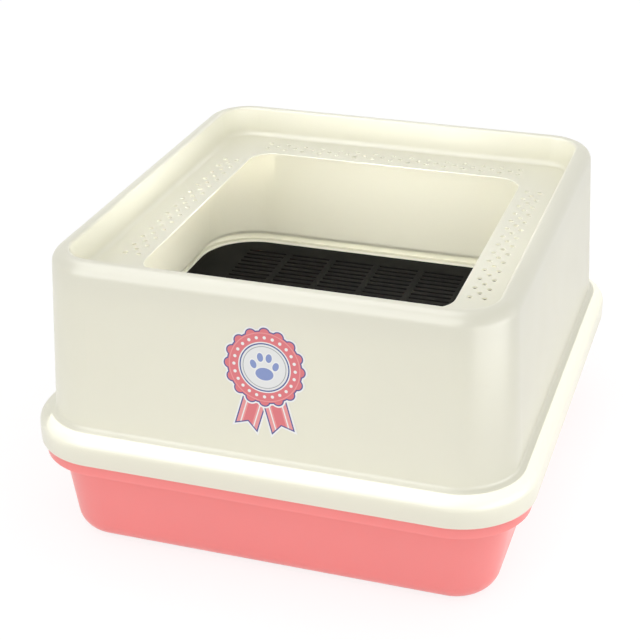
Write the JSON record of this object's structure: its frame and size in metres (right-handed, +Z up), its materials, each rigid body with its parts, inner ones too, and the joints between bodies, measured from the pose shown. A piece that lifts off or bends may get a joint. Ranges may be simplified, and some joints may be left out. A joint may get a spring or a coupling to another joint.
{
  "type": "top entry litter box",
  "caption": "Top entry litter box: a deep tray, a slotted floor on its rim, and a lift-off hood with a sunken vented top and a large entry opening.",
  "frame": {"origin": "middle of the footprint, on the surface that the tray stands on", "axes": "+Z up, the front with the badge faces -Y, +X to the front's right; the hood's longer side runs along Y"},
  "size_m": [0.475, 0.514, 0.292],
  "materials": {
    "hood_plastic": "cream, semi-gloss moulded",
    "tray_plastic": "coral pink, semi-gloss moulded",
    "floor_plastic": "black, matte moulded",
    "badge_print": "printed gloss film",
    "label_print": "printed satin film"
  },
  "bodies": {
    "tray": {"tray": "tray_plastic", "floor_label": "label_print"},
    "slotted_floor": {"slotted_floor": "floor_plastic"},
    "hood": {"hood": "hood_plastic", "front_badge": "badge_print"}
  },
  "joints": [
    {"name": "floor_lift", "type": "slide", "parent": "tray", "child": "slotted_floor", "axis": [0, 0, 1], "range_m": [0, 0.078]},
    {"name": "hood_lift", "type": "slide", "parent": "slotted_floor", "child": "hood", "axis": [0, 0, 1], "range_m": [0, 0.04]}
  ]
}
